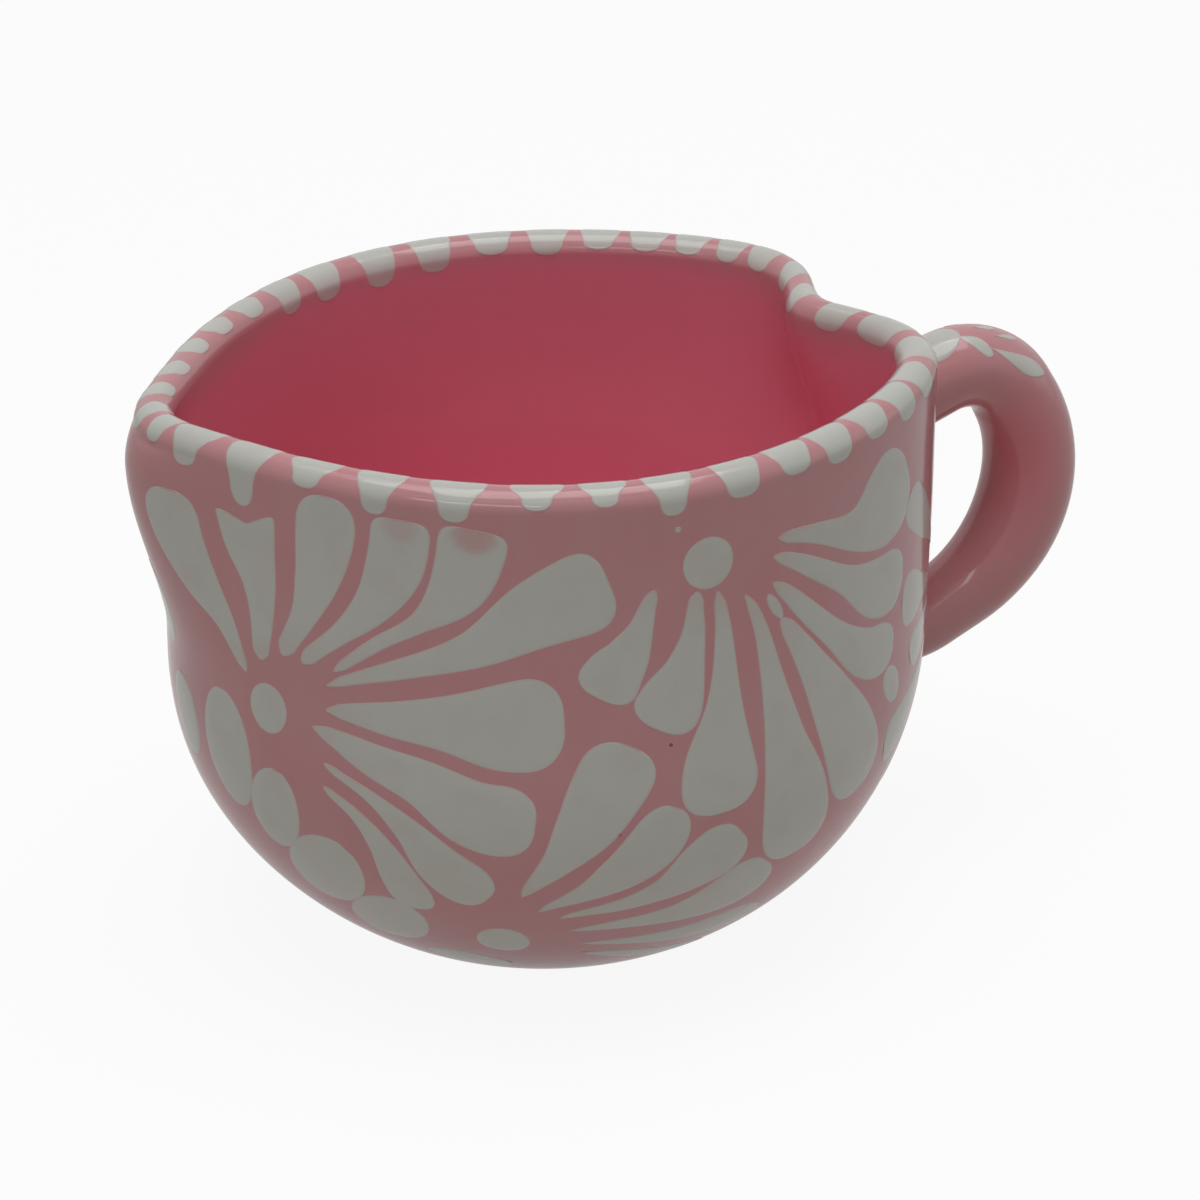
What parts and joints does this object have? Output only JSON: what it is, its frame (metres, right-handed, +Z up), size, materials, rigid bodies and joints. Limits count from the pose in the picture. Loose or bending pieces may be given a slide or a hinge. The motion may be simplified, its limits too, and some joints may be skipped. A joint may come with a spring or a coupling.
{
  "type": "clay mug",
  "caption": "Round-bellied clay mug with a heart-shaped mouth, a rolled loop handle luted on at the cleft, and fans of white slip petals over a pink ground",
  "frame": {"origin": "centre of the flat foot, on the table", "axes": "+Z is up, +X points to the handle, +Y is to the left seen from behind the handle"},
  "size_m": [0.1374, 0.0993, 0.0805],
  "materials": {
    "pink_ground": "gloss",
    "white_slip": "gloss"
  },
  "bodies": {
    "root": {"body": "pink_ground", "handle": "pink_ground", "upper_lute": "pink_ground", "lower_lute": "pink_ground", "left_petals": "white_slip", "left_eye": "white_slip", "left_drops": "white_slip", "high_petals": "white_slip", "high_eye": "white_slip", "low_petals": "white_slip", "low_eye": "white_slip", "handle_fan_petals": "white_slip", "handle_fan_eye": "white_slip", "back_petals": "white_slip", "back_eye": "white_slip", "back_drops": "white_slip", "back_high_petals": "white_slip", "back_high_eye": "white_slip", "back_low_petals": "white_slip", "back_low_eye": "white_slip", "point_drops": "white_slip", "rim_dabs": "white_slip", "handle_leaves": "white_slip"}
  },
  "joints": []
}
